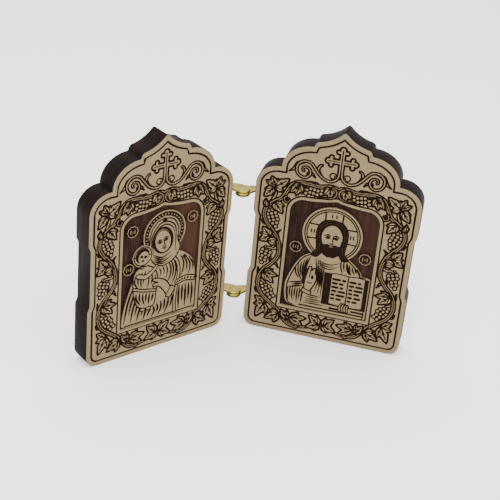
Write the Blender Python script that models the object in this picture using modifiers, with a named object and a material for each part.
"""A small folding icon: two carved wooden leaves joined by two brass hinges.

Each leaf is a thick board with a stepped, keel-topped outline. Its front is carved: a groove follows
the outline, a cross over scrolls fills the top, a vine runs round the border, and a sunk field holds
a figure left standing at the height of the face. The leaves stand on their lower edges, half open.
A leaf is drawn square on: x runs along its width from the hinge axis, y into its thickness and z up.
"""
import math

import bmesh
import bpy
from mathutils import Matrix

# Leaf
LEAF_WIDTH = 0.0620
LEAF_HEIGHT = 0.0874
LEAF_THICKNESS = 0.0090
FOOT_RADIUS = 0.0046
WAIST_DEPTH = 0.0009
WAIST_BOTTOM = 0.0240
WAIST_TOP = 0.0510
WAIST_SLOPE = 0.0022
SHOULDER_HEIGHT = 0.0703
SHOULDER_WIDTH = 0.0087
SHOULDER_DROP = 0.0080
TIER_HALF_WIDTH = 0.0219
TIER_RISE = 0.0100
TIER_TOP_HALF_WIDTH = 0.0105
TIER_SWEEP = 88
KNUCKLE_RADIUS = 0.0019
OGEE_RADIUS = 0.0157
APEX_SLOPE = math.radians(50.4)
APEX_RADIUS = 0.0009

# Carving
EDGE_GROOVE_INSET = 0.0020
EDGE_GROOVE_WIDTH = 0.0007
EDGE_GROOVE_KNUCKLE = 0.0013
EDGE_GROOVE_NOTCH = 0.0013
GROOVE_DEPTH = 0.0005
FIELD_DEPTH = 0.0012
CUTTER_RISE = 0.0020
FLOOR_STEP = 0.00001
FIELD_HALF_WIDTH = 0.0170
FIELD_BOTTOM = 0.0122
FIELD_TOP = 0.0586
FIELD_PEAK = 0.0016
FIELD_CORNER = 0.0052
FIELD_SWEEP = 80
FRAME_GAP = 0.0012
FRAME_LINE = 0.0005
CROSS_HEIGHT = 0.0761
CROSS_SPAN = 0.0053
CROSS_ARM = 0.0020
CROSS_TIP_RADIUS = 0.0009
CROSS_TIP_START = 70
CROSS_LOBE_RADIUS = 0.0008
CROSS_LOBE_SETBACK = 0.0011
CROSS_LOBE_REACH = 0.0016
CROSS_STEM = 0.0060
CROSS_LINE = 0.0005
SCROLL_CENTRE = (0.0129, 0.0708)
SCROLL_RADIUS = 0.0038
SCROLL_EYE = 0.0009
SCROLL_BOWL = (0.0041, 0.0711)
SCROLL_WIDTH = 0.0008
SCROLL_START = 165
SCROLL_SWEEP = 560
BOWL_START = 185
BOWL_END = 310
VINE_CENTRE = 0.0230
VINE_SWING = 0.0037
VINE_PITCH = 0.0290
VINE_CREST = 0.0503
VINE_WIDTH = 0.0010
VINE_BOTTOM = 0.0080
VINE_TOP = 0.0610
LEAFLET_LOBES = 5
LEAFLET_VALLEY = 0.52
LEAFLET_RISE = 0.0042
LEAFLET_LEAN = 60
BUNCH_CENTRE = 0.0235
BUNCH_SHIFT = 0.0012
BUNCH_DROP = 0.0026
BUNCH_RADII = (0.0020, 0.0031)
SIDE_LEAFLET = 0.0025
CORNER_LEAFLET = (0.0243, 0.0625, 0.0030, 50)
FOOT_LEAFLETS = (0.0036, 0.0096, 0.0156)
FOOT_LEAFLET_HEIGHT = 0.0065
FOOT_LEAFLET = 0.0024
FOOT_CORNER_LEAFLET = (0.0246, 0.0074, 0.0028, -50)
CROWN_HEIGHT = 0.0641
CROWN_LEAFLETS = (0.0034, 0.0148)
CROWN_LEAFLET = 0.0019
CROWN_BUNCH = 0.0091
CROWN_BUNCH_RADII = (0.0030, 0.0016)

# Figures
HALO_CENTRE = (0.0, 0.0463)
HALO_RADIUS = 0.0114
HALO_LINE_INSET = 0.0012
HEAD_CENTRE = (0.0, 0.0448)
HAIR_RADII = (0.0062, 0.0079)
FACE_RADII = (0.0040, 0.0053)
BODY_HALF_WIDTH = 0.0156
BODY_TOP = 0.0385
BODY_WAIST = 0.0180
BODY_FOOT = 0.0132
BODY_FOOT_HALF_WIDTH = 0.0133
SHOULDER_FULLNESS = 0.9
FOLD_WIDTH = 0.0006
FOLD_COUNT = 5
FOLD_PITCH = 0.0017
FOLD_STAGGER = 0.0006
FOLD_TOP = (-0.0098, 0.0330)
FOLD_BOTTOM = (-0.0118, 0.0165)
FOLD_BOW = 0.0016
BOOK = (0.0018, 0.0148, 0.0170, 0.0303)
BOOK_BORDER = 0.0012
BOOK_EDGE = 0.0007
BOOK_SPINE = 0.0083
BOOK_LINE = 0.0005
BOOK_ROWS = 4
BOOK_MARGIN = 0.0012
ROUNDEL_RADIUS = 0.0024
ROUNDEL_LINE = 0.0006
BLESSING_ROUNDELS = ((-0.0133, 0.0387), (0.0133, 0.0387))
MOTHER_ROUNDELS = ((-0.0129, 0.0524), (0.0132, 0.0525), (-0.0141, 0.0372))
MOTHER_SHIFT = 0.0006
MOTHER_HALO_CENTRE = (0.0010, 0.0486)
MOTHER_HALO_RADIUS = 0.0092
VEIL_CENTRE = (0.0010, 0.0450)
VEIL_RADII = (0.0061, 0.0092)
MOTHER_FACE_CENTRE = (0.0005, 0.0453)
MOTHER_FACE_RADII = (0.0035, 0.0048)
CHILD_HALO_CENTRE = (-0.0081, 0.0413)
CHILD_HALO_RADIUS = 0.0044
CHILD_FACE_RADII = (0.0023, 0.0027)
CHILD_ROBE_CENTRE = (-0.0066, 0.0278)
CHILD_ROBE_RADII = (0.0053, 0.0090)
MANTLE_TOP = (0.0058, 0.0350)
MANTLE_BOTTOM = (0.0022, 0.0170)

# Smoothness: how many straight steps stand for each curve
CORNER_STEPS = 4
CURVE_STEPS = 6
TIER_STEPS = 7
KNUCKLE_STEPS = 3
LOBE_STEPS = 3
BODY_STEPS = 8
BOWL_STEPS = 5
SPIRAL_STEPS = 13
VINE_STEPS = 16
FOLD_STEPS = 3
KEEL_STEPS = 4
HALO_STEPS = 20
OVAL_STEPS = 12
SMALL_STEPS = 8

# Hinges
OPENING_ANGLE = math.radians(127.7)
PIVOT_REACH = 0.00467
PIVOT_LEAD = 0.0002
HINGE_HEIGHTS = {"lower": 0.0140, "upper": 0.0580}
ARM_THICKNESS = 0.0008
ARM_WIDTH = 0.0038
ARM_END_RADIUS = 0.0028
ARM_TANG = 0.0050
BARREL_DIAMETER = 0.0054
BARREL_LENGTH = 0.0085
RIVET_DIAMETER = 0.0016
RIVET_HEAD_THICKNESS = 0.0009
CLEARANCE = 0.0003
ARM_BACK_STEPS = 6
ARM_END_STEPS = 10
ARM_END_STOP = 345
HOLE_SIDES = 12
ROUND_SIDES = 16

COLOURS = {
    "wood": ((0.45, 0.37, 0.26), 0.6, 0.0),
    "brass": ((0.72, 0.60, 0.30), 0.3, 1.0),
}


def clear_scene():
    for item in list(bpy.data.objects):
        bpy.data.objects.remove(item, do_unlink=True)


def new_collection(name):
    collection = bpy.data.collections.new(name)
    bpy.context.scene.collection.children.link(collection)
    return collection


def new_material(name, key):
    colour, roughness, metallic = COLOURS[key]
    material = bpy.data.materials.new(name)
    material.use_nodes = True
    shader = material.node_tree.nodes["Principled BSDF"]
    shader.inputs["Base Color"].default_value = (*colour, 1.0)
    shader.inputs["Roughness"].default_value = roughness
    shader.inputs["Metallic"].default_value = metallic
    return material


def arc(cx, cz, rx, rz, start, end, steps):
    """Points on an ellipse from start to end, in degrees, both ends included."""
    angles = [math.radians(start + (end - start) * i / steps) for i in range(steps + 1)]
    return [(cx + rx * math.cos(a), cz + rz * math.sin(a)) for a in angles]


def mirrored(half):
    """Close a right half, listed from the bottom up, with its mirror image."""
    return half + [(-x, z) for x, z in reversed(half) if x > 1e-7]


def leaf_outline(inset, knuckle, notch):
    """The board's outline moved in by inset; knuckle and notch shape the small step under the ogee."""
    side = LEAF_WIDTH / 2 - inset
    waist = side - WAIST_DEPTH
    foot = max(FOOT_RADIUS - inset, FOOT_RADIUS / 3)
    half = arc(side - foot, inset + foot, foot, foot, -90, 0, CORNER_STEPS)
    half += [(side, WAIST_BOTTOM), (waist, WAIST_BOTTOM + WAIST_SLOPE)]
    half += [(waist, WAIST_TOP - WAIST_SLOPE), (side, WAIST_TOP)]
    width = SHOULDER_WIDTH - inset
    drop = SHOULDER_DROP - inset
    half += arc(side - width, SHOULDER_HEIGHT - inset - drop, width, drop, 0, 90, CURVE_STEPS)
    tier_half = TIER_HALF_WIDTH - inset
    half += [(tier_half, SHOULDER_HEIGHT - inset)]
    sharp_apex = LEAF_HEIGHT + APEX_RADIUS * (1 / math.cos(APEX_SLOPE) - 1)
    ogee_x = OGEE_RADIUS * math.sin(APEX_SLOPE)
    ogee_z = sharp_apex + OGEE_RADIUS * math.cos(APEX_SLOPE)
    ogee = OGEE_RADIUS + inset
    knuckle_x = TIER_TOP_HALF_WIDTH - notch - knuckle
    reach = ogee + knuckle
    knuckle_z = ogee_z - math.sqrt(reach ** 2 - (ogee_x - knuckle_x) ** 2)
    rise = TIER_RISE - inset
    tier_run = tier_half - (TIER_TOP_HALF_WIDTH - notch)
    half += arc(TIER_TOP_HALF_WIDTH - notch, SHOULDER_HEIGHT, tier_run, rise, 0, TIER_SWEEP, TIER_STEPS)
    meet = math.degrees(math.atan2(ogee_z - knuckle_z, ogee_x - knuckle_x))
    half += arc(knuckle_x, knuckle_z, knuckle, knuckle, 0, meet, KNUCKLE_STEPS)
    last = math.degrees(math.acos(min(1.0, ogee_x / ogee)))
    tip = APEX_RADIUS * math.sin(APEX_SLOPE) if inset < APEX_RADIUS else 0.0
    stop = math.degrees(math.acos((ogee_x - tip) / ogee)) if tip else last
    ogee_points = arc(ogee_x, ogee_z, -ogee, -ogee, meet, stop, CURVE_STEPS)
    half += ogee_points[1:]
    if tip:
        half += arc(0.0, LEAF_HEIGHT - APEX_RADIUS, APEX_RADIUS, APEX_RADIUS, 45, 90, 2)[1:]
    return mirrored(half)


def field_outline(grow):
    """The sunk field's outline, moved out by grow: round upper corners and a low keel at the top."""
    side = FIELD_HALF_WIDTH + grow
    top = FIELD_TOP + grow
    corner = FIELD_CORNER + grow
    half = [(side, FIELD_BOTTOM - grow)]
    half += arc(side - corner, top - corner, corner, corner, 0, FIELD_SWEEP, CURVE_STEPS)
    for i in range(1, KEEL_STEPS + 1):
        share = 1 - i / KEEL_STEPS
        half.append((share * (side - corner), top + FIELD_PEAK * (1 - share) ** 2))
    return mirrored(half)


def stroke_outline(path, width):
    """A ribbon of even width along an open path."""
    left = []
    right = []
    for i, (x, z) in enumerate(path):
        before = path[max(i - 1, 0)]
        after = path[min(i + 1, len(path) - 1)]
        dx, dz = after[0] - before[0], after[1] - before[1]
        length = math.hypot(dx, dz)
        nx, nz = -dz / length * width / 2, dx / length * width / 2
        left.append((x + nx, z + nz))
        right.append((x - nx, z - nz))
    return left + right[::-1]


def cross_arm(grow):
    """One side of one arm from root to tip, as distance along the arm and distance across it."""
    half = CROSS_ARM / 2 + grow
    tip = CROSS_SPAN - CROSS_TIP_RADIUS
    lobe_along = tip - CROSS_LOBE_SETBACK
    profile = [(half, half), (lobe_along - CROSS_LOBE_RADIUS - grow, half)]
    lobe = CROSS_LOBE_RADIUS + grow
    profile += arc(lobe_along, CROSS_LOBE_REACH, lobe, lobe, 180, 0, LOBE_STEPS)
    end = CROSS_TIP_RADIUS + grow
    profile += arc(tip, 0.0, end, end, CROSS_TIP_START, 0, LOBE_STEPS)
    return profile


def cross_outline(grow):
    """A cross with trefoil ends and a long stem, moved out by grow."""
    arm = cross_arm(grow)
    half = [(CROSS_ARM / 2 + grow, -CROSS_STEM - grow)]
    half += [(along, -across) for along, across in arm]
    half += [(along, across) for along, across in arm[-2::-1]]
    half += [(across, along) for along, across in arm[1:]]
    return [(x, z + CROSS_HEIGHT) for x, z in mirrored(half)]


def scroll_path():
    """The right-hand scroll: a bowl from the cross's foot, then a spiral that winds in to its eye."""
    bowl_x, bowl_z = SCROLL_BOWL
    centre_x, centre_z = SCROLL_CENTRE
    path = arc(bowl_x, bowl_z, bowl_x - CROSS_ARM / 4, SCROLL_RADIUS, BOWL_START, BOWL_END, BOWL_STEPS)
    for i in range(SPIRAL_STEPS + 1):
        share = i / SPIRAL_STEPS
        angle = math.radians(SCROLL_START - SCROLL_SWEEP * share)
        radius = SCROLL_RADIUS + (SCROLL_EYE - SCROLL_RADIUS) * share
        path.append((centre_x + radius * math.cos(angle), centre_z + radius * math.sin(angle)))
    return path


def vine_path():
    """The vine's stem up one side: a wave between the groove and the frame of the field."""
    rise = (VINE_TOP - VINE_BOTTOM) / VINE_STEPS
    heights = [VINE_BOTTOM + rise * i for i in range(VINE_STEPS + 1)]
    turn = 2 * math.pi / VINE_PITCH
    return [(VINE_CENTRE + VINE_SWING * math.cos(turn * (z - VINE_CREST)), z) for z in heights]


def mirror_x(points):
    return [(-x, z) for x, z in points][::-1]


def leaflet(cx, cz, radius, turn):
    """A vine leaf with pointed lobes; turn is where its tip points, in degrees."""
    points = []
    for i in range(2 * LEAFLET_LOBES):
        reach = radius * (LEAFLET_VALLEY if i % 2 else 1.0)
        angle = math.radians(turn + 180 * i / LEAFLET_LOBES)
        points.append((cx + reach * math.cos(angle), cz + reach * math.sin(angle)))
    return points


def oval(centre, radii, steps):
    """A closed ellipse."""
    return arc(*centre, *radii, 0, 360 * (steps - 1) / steps, steps - 1)


def foliage():
    """The leaves and bunches of one side: a leaf over a bunch in each bend of the vine, a leaf in each
    corner, a row of leaves along the foot, and two leaves with a bunch between them over the field."""
    shapes = []
    for bend in range(3):
        way = -1 if bend % 2 == 0 else 1
        x = BUNCH_CENTRE + way * BUNCH_SHIFT
        z = VINE_CREST - bend * VINE_PITCH / 2
        shapes.append(leaflet(x, z + LEAFLET_RISE, SIDE_LEAFLET, 90 - way * LEAFLET_LEAN))
        shapes.append(oval((x, z - BUNCH_DROP), BUNCH_RADII, SMALL_STEPS))
    shapes.append(leaflet(*CORNER_LEAFLET))
    shapes.append(leaflet(*FOOT_CORNER_LEAFLET))
    for x in FOOT_LEAFLETS:
        shapes.append(leaflet(x, FOOT_LEAFLET_HEIGHT, FOOT_LEAFLET, -90))
    for x in CROWN_LEAFLETS:
        shapes.append(leaflet(x, CROWN_HEIGHT, CROWN_LEAFLET, -90))
    shapes.append(oval((CROWN_BUNCH, CROWN_HEIGHT), CROWN_BUNCH_RADII, SMALL_STEPS))
    return shapes


def body_outline(shift):
    """A cloaked half figure: sloping shoulders that widen to the waist, over a level lower edge."""
    half = [(BODY_FOOT_HALF_WIDTH, BODY_FOOT)]
    rise = BODY_TOP - BODY_WAIST
    for i in range(BODY_STEPS):
        angle = math.pi / 2 * i / BODY_STEPS
        x = BODY_HALF_WIDTH * math.cos(angle) ** SHOULDER_FULLNESS
        half.append((x, BODY_WAIST + rise * math.sin(angle) ** SHOULDER_FULLNESS))
    half.append((0.0, BODY_TOP))
    return [(x + shift, z) for x, z in mirrored(half)]


def folds(top, bottom, count):
    """Strokes of drapery side by side, each bowed outwards between its ends."""
    strokes = []
    for i in range(count):
        x0, z0 = top[0] + i * FOLD_PITCH, top[1] + i * FOLD_STAGGER
        x1, z1 = bottom[0] + i * FOLD_PITCH, bottom[1]
        path = []
        for k in range(FOLD_STEPS + 1):
            share = k / FOLD_STEPS
            bow = FOLD_BOW * math.sin(math.pi * share)
            path.append((x0 + (x1 - x0) * share - bow, z0 + (z1 - z0) * share))
        strokes.append(stroke_outline(path, FOLD_WIDTH))
    return strokes


def rectangle(left, right, bottom, top):
    return [(left, bottom), (right, bottom), (right, top), (left, top)]


def mesh_from_curve(curve_object, collection):
    """Turn a filled curve into a closed mesh object in the same place."""
    bpy.context.scene.collection.objects.link(curve_object)
    bpy.context.view_layer.update()
    graph = bpy.context.evaluated_depsgraph_get()
    mesh = bpy.data.meshes.new_from_object(curve_object.evaluated_get(graph))
    name = curve_object.name
    place = curve_object.matrix_world.copy()
    bpy.data.objects.remove(curve_object, do_unlink=True)
    solid = bmesh.new()
    solid.from_mesh(mesh)
    bmesh.ops.remove_doubles(solid, verts=solid.verts, dist=1e-6)
    bmesh.ops.transform(solid, matrix=place, verts=solid.verts)
    bmesh.ops.recalc_face_normals(solid, faces=solid.faces)
    solid.to_mesh(mesh)
    solid.free()
    mesh.name = name
    item = bpy.data.objects.new(name, mesh)
    collection.objects.link(item)
    return item


def prism(name, outlines, near, far, collection, upright=True):
    """Outlines filled by the odd-even rule and given thickness: upright ones lie in x and z and
    run from near to far in y; the others lie in x and y and run from near to far in z."""
    curve = bpy.data.curves.new(name, "CURVE")
    curve.dimensions = "2D"
    curve.fill_mode = "BOTH"
    curve.extrude = (far - near) / 2
    for outline in outlines:
        spline = curve.splines.new("POLY")
        spline.points.add(len(outline) - 1)
        for point, (x, z) in zip(spline.points, outline):
            point.co = (x, z, 0.0, 1.0)
        spline.use_cyclic_u = True
    item = bpy.data.objects.new(name, curve)
    middle = (near + far) / 2
    if upright:
        item.location = (0.0, middle, 0.0)
        item.rotation_euler = (math.pi / 2, 0.0, 0.0)
    else:
        item.location = (0.0, 0.0, middle)
    return mesh_from_curve(item, collection)


def cylinder(name, radius, start, end, y, z, collection):
    """A round bar along x from start to end."""
    solid = bmesh.new()
    turn = Matrix.Translation(((start + end) / 2, y, z)) @ Matrix.Rotation(math.pi / 2, 4, "Y")
    bmesh.ops.create_cone(solid, cap_ends=True, segments=ROUND_SIDES, radius1=radius, radius2=radius,
                          depth=abs(end - start), matrix=turn)
    mesh = bpy.data.meshes.new(name)
    solid.to_mesh(mesh)
    solid.free()
    item = bpy.data.objects.new(name, mesh)
    collection.objects.link(item)
    return item


def box(name, low, high, collection):
    solid = bmesh.new()
    bmesh.ops.create_cube(solid, size=1.0)
    size = [b - a for a, b in zip(low, high)]
    middle = [(a + b) / 2 for a, b in zip(low, high)]
    place = Matrix.Translation(middle) @ Matrix.Diagonal((*size, 1.0))
    bmesh.ops.transform(solid, matrix=place, verts=solid.verts)
    mesh = bpy.data.meshes.new(name)
    solid.to_mesh(mesh)
    solid.free()
    item = bpy.data.objects.new(name, mesh)
    collection.objects.link(item)
    return item


def boolean(target, cutter, operation="DIFFERENCE"):
    modifier = target.modifiers.new(cutter.name, "BOOLEAN")
    modifier.operation = operation
    modifier.solver = "MANIFOLD"
    modifier.object = cutter
    cutter.hide_render = True
    cutter.display_type = "WIRE"


class Carver:
    """Cuts shapes into one board's front, each to its own depth."""

    def __init__(self, board, label, cutters):
        self.board = board
        self.label = label
        self.cutters = cutters
        self.count = 0

    def cutter(self, outlines, near, far):
        self.count += 1
        name = f"{self.label}_cut_{self.count:02d}"
        item = prism(name, outlines, near, far, self.cutters)
        item.parent = self.board
        return item

    def cut(self, outlines, depth):
        floor = PIVOT_LEAD + depth + self.count * FLOOR_STEP
        item = self.cutter(outlines, PIVOT_LEAD - CUTTER_RISE, floor)
        boolean(self.board, item)
        return item

    def spare(self, pocket, outlines):
        """Leave the shape standing inside a pocket."""
        boolean(pocket, self.cutter(outlines, PIVOT_LEAD - 2 * CUTTER_RISE, PIVOT_LEAD + LEAF_THICKNESS / 2))


def carve_surround(carver):
    """What both leaves share: scrolls, vine, foliage, cross, frame line and edge groove."""
    scroll = stroke_outline(scroll_path(), SCROLL_WIDTH)
    vine = stroke_outline(vine_path(), VINE_WIDTH)
    for ribbon in (scroll, mirror_x(scroll), vine, mirror_x(vine)):
        carver.cut([ribbon], GROOVE_DEPTH)
    for shape in foliage():
        carver.cut([shape, mirror_x(shape)], GROOVE_DEPTH)
    carver.cut([cross_outline(0.0), cross_outline(-CROSS_LINE)], GROOVE_DEPTH)
    carver.cut([field_outline(FRAME_GAP + FRAME_LINE), field_outline(FRAME_GAP)], GROOVE_DEPTH)
    half_line = EDGE_GROOVE_WIDTH / 2
    edges = []
    for move in (-half_line, half_line):
        inset = EDGE_GROOVE_INSET + move
        edges.append(leaf_outline(inset, EDGE_GROOVE_KNUCKLE - move, EDGE_GROOVE_NOTCH + move))
    carver.cut(edges, GROOVE_DEPTH)


def carve_roundels(carver, pocket, places):
    """Small medallions left standing in the field, each with a sunk middle."""
    for centre in places:
        carver.spare(pocket, [oval(centre, (ROUNDEL_RADIUS, ROUNDEL_RADIUS), SMALL_STEPS)])
        inner = ROUNDEL_RADIUS - ROUNDEL_LINE
        carver.cut([oval(centre, (inner, inner), SMALL_STEPS)], FIELD_DEPTH)


def carve_halo(carver, pocket, centre, radius):
    """A plain disc left standing, with a line cut inside its rim."""
    carver.spare(pocket, [oval(centre, (radius, radius), HALO_STEPS)])
    outer = radius - HALO_LINE_INSET
    inner = outer - EDGE_GROOVE_WIDTH
    rings = [oval(centre, (reach, reach), HALO_STEPS) for reach in (outer, inner)]
    carver.cut(rings, GROOVE_DEPTH)


def carve_blessing_figure(carver):
    """A haloed half figure with an open book, left standing in the sunk field."""
    pocket = carver.cut([field_outline(0.0)], FIELD_DEPTH)
    carve_halo(carver, pocket, HALO_CENTRE, HALO_RADIUS)
    carver.spare(pocket, [body_outline(0.0)])
    left, right, bottom, top = BOOK
    border = BOOK_BORDER
    carver.spare(pocket, [rectangle(left - border, right + border, bottom - border, top + BOOK_EDGE)])
    hair = oval(HEAD_CENTRE, HAIR_RADII, OVAL_STEPS)
    face = oval(HEAD_CENTRE, FACE_RADII, OVAL_STEPS)
    carver.cut([hair, face], FIELD_DEPTH)
    carver.cut([rectangle(left - border, left, bottom, top)], FIELD_DEPTH)
    carver.cut([rectangle(right, right + BOOK_EDGE, bottom, top)], FIELD_DEPTH)
    carver.cut([rectangle(BOOK_SPINE - BOOK_LINE / 2, BOOK_SPINE + BOOK_LINE / 2, bottom, top)], GROOVE_DEPTH)
    pitch = (top - bottom) / (BOOK_ROWS + 1)
    for start, end in ((left, BOOK_SPINE), (BOOK_SPINE, right)):
        for row in range(BOOK_ROWS):
            low = bottom + pitch * (row + 1) - BOOK_LINE / 2
            line = rectangle(start + BOOK_MARGIN, end - BOOK_MARGIN, low, low + BOOK_LINE)
            carver.cut([line], GROOVE_DEPTH)
    for stroke in folds(FOLD_TOP, FOLD_BOTTOM, FOLD_COUNT):
        carver.cut([stroke], GROOVE_DEPTH)
    carve_roundels(carver, pocket, BLESSING_ROUNDELS)


def carve_mother_and_child(carver):
    """A veiled mother with a child on her arm, left standing in the sunk field."""
    pocket = carver.cut([field_outline(0.0)], FIELD_DEPTH)
    carve_halo(carver, pocket, MOTHER_HALO_CENTRE, MOTHER_HALO_RADIUS)
    carver.spare(pocket, [body_outline(MOTHER_SHIFT)])
    carver.spare(pocket, [oval(CHILD_HALO_CENTRE, (CHILD_HALO_RADIUS, CHILD_HALO_RADIUS), OVAL_STEPS)])
    line = EDGE_GROOVE_WIDTH
    rims = ((VEIL_CENTRE, VEIL_RADII), (MOTHER_FACE_CENTRE, MOTHER_FACE_RADII),
            (CHILD_HALO_CENTRE, CHILD_FACE_RADII), (CHILD_ROBE_CENTRE, CHILD_ROBE_RADII))
    for centre, radii in rims:
        inner = (radii[0] - line, radii[1] - line)
        carver.cut([oval(centre, radii, OVAL_STEPS), oval(centre, inner, OVAL_STEPS)], GROOVE_DEPTH)
    for stroke in folds(MANTLE_TOP, MANTLE_BOTTOM, FOLD_COUNT):
        carver.cut([stroke], GROOVE_DEPTH)
    carve_roundels(carver, pocket, MOTHER_ROUNDELS)


def make_board(side, label, half, collection, cutters, material):
    """One leaf. side is 1 for the right leaf and -1 for the left."""
    centre = PIVOT_REACH + LEAF_WIDTH / 2
    outline = leaf_outline(0.0, KNUCKLE_RADIUS, 0.0)
    board = prism(f"{label}_leaf", [outline], PIVOT_LEAD, PIVOT_LEAD + LEAF_THICKNESS, collection)
    board.parent = half
    board.location = (side * centre, 0.0, 0.0)
    board.data.materials.append(material)
    carver = Carver(board, label, cutters)
    carve_surround(carver)
    if side > 0:
        carve_blessing_figure(carver)
    else:
        carve_mother_and_child(carver)
    mouth = -side * LEAF_WIDTH / 2
    for name, height in HINGE_HEIGHTS.items():
        end = mouth + side * (BARREL_LENGTH + CLEARANCE)
        start = mouth - side * CLEARANCE
        radius = BARREL_DIAMETER / 2 + CLEARANCE
        middle = PIVOT_LEAD + LEAF_THICKNESS / 2
        bore = cylinder(f"{label}_{name}_bore", radius, start, end, middle, height, cutters)
        bore.parent = board
        boolean(board, bore)
    return board


def arm_outline(side):
    """A hinge arm seen from above: a round end on the axis, a bowed neck and a straight tang."""
    middle = PIVOT_LEAD + LEAF_THICKNESS / 2
    back = middle + ARM_WIDTH / 2
    front = middle - ARM_WIDTH / 2
    points = [(PIVOT_REACH + ARM_TANG, front), (PIVOT_REACH + ARM_TANG, back)]
    points += arc(PIVOT_REACH, 0.0, PIVOT_REACH + ARM_END_RADIUS, back, 90, 180, ARM_BACK_STEPS)
    points += arc(0.0, 0.0, ARM_END_RADIUS, ARM_END_RADIUS, 180, ARM_END_STOP, ARM_END_STEPS)[1:]
    points.append((PIVOT_REACH, front))
    return [(side * x, y) for x, y in points]


def rivet_hole():
    radius = RIVET_DIAMETER / 2 + CLEARANCE
    return oval((0.0, 0.0), (radius, radius), HOLE_SIDES)


def make_hinge(name, height, halves, collection, cutters, material):
    """Two flat arms, one over the other, that turn on a rivet and sit in barrels in the leaves."""
    middle = PIVOT_LEAD + LEAF_THICKNESS / 2
    step = (ARM_THICKNESS + CLEARANCE) / 2
    for label, side in (("left", -1), ("right", 1)):
        level = height - side * step
        low, high = level - ARM_THICKNESS / 2, level + ARM_THICKNESS / 2
        outlines = [arm_outline(side), rivet_hole()]
        arm = prism(f"{name}_{label}_arm", outlines, low, high, collection, upright=False)
        start = side * PIVOT_REACH
        barrel = cylinder(f"{name}_{label}_barrel", BARREL_DIAMETER / 2, start, start + side * BARREL_LENGTH,
                          middle, height, collection)
        slot_end = PIVOT_REACH + ARM_TANG + CLEARANCE
        xs = sorted((side * (PIVOT_REACH - BARREL_DIAMETER), side * slot_end))
        slot = box(f"{name}_{label}_slot", (xs[0], middle - BARREL_DIAMETER, low - CLEARANCE),
                   (xs[1], middle + BARREL_DIAMETER, high + CLEARANCE), cutters)
        boolean(barrel, slot)
        for item in (arm, barrel, slot):
            item.parent = halves[label]
        for item in (arm, barrel):
            item.data.materials.append(material)
    top = height + step + ARM_THICKNESS / 2
    head_top = height - step - ARM_THICKNESS / 2 - CLEARANCE
    make_rivet(f"{name}_rivet", top, head_top, halves["left"], collection, material)


def make_rivet(name, top, head_top, parent, collection, material):
    """A plain shaft with a wide flat head below, turned about the hinge axis."""
    shaft = RIVET_DIAMETER / 2
    profile = [(0.0, top), (shaft, top), (shaft, head_top), (ARM_END_RADIUS, head_top),
               (ARM_END_RADIUS, head_top - RIVET_HEAD_THICKNESS), (0.0, head_top - RIVET_HEAD_THICKNESS)]
    mesh = bpy.data.meshes.new(name)
    vertices = [(x, 0.0, z) for x, z in profile]
    mesh.from_pydata(vertices, [(i, i + 1) for i in range(len(profile) - 1)], [])
    item = bpy.data.objects.new(name, mesh)
    collection.objects.link(item)
    screw = item.modifiers.new("turn", "SCREW")
    screw.axis = "Z"
    screw.steps = ROUND_SIDES
    screw.render_steps = ROUND_SIDES
    screw.use_merge_vertices = True
    screw.merge_threshold = 1e-5
    item.parent = parent
    item.data.materials.append(material)


def pivot_place(fold):
    """The hinge axis stands where the open icon's plan is centred on the origin."""
    near = -(PIVOT_REACH + LEAF_WIDTH) * math.sin(fold) + PIVOT_LEAD * math.cos(fold)
    far = -PIVOT_REACH * math.sin(fold) + (PIVOT_LEAD + LEAF_THICKNESS) * math.cos(fold)
    return -(near + far) / 2


def main():
    clear_scene()
    collection = new_collection("folding_icon")
    cutters = new_collection("cutters")
    wood = new_material("wood", "wood")
    brass = new_material("brass", "brass")
    fold = (math.pi - OPENING_ANGLE) / 2
    halves = {}
    for label, side in (("left", -1), ("right", 1)):
        half = bpy.data.objects.new(f"{label}_half", None)
        half.location = (0.0, pivot_place(fold), 0.0)
        half.rotation_euler = (0.0, 0.0, -side * fold)
        collection.objects.link(half)
        halves[label] = half
        make_board(side, label, half, collection, cutters, wood)
    for name, height in HINGE_HEIGHTS.items():
        make_hinge(name, height, halves, collection, cutters, brass)


main()
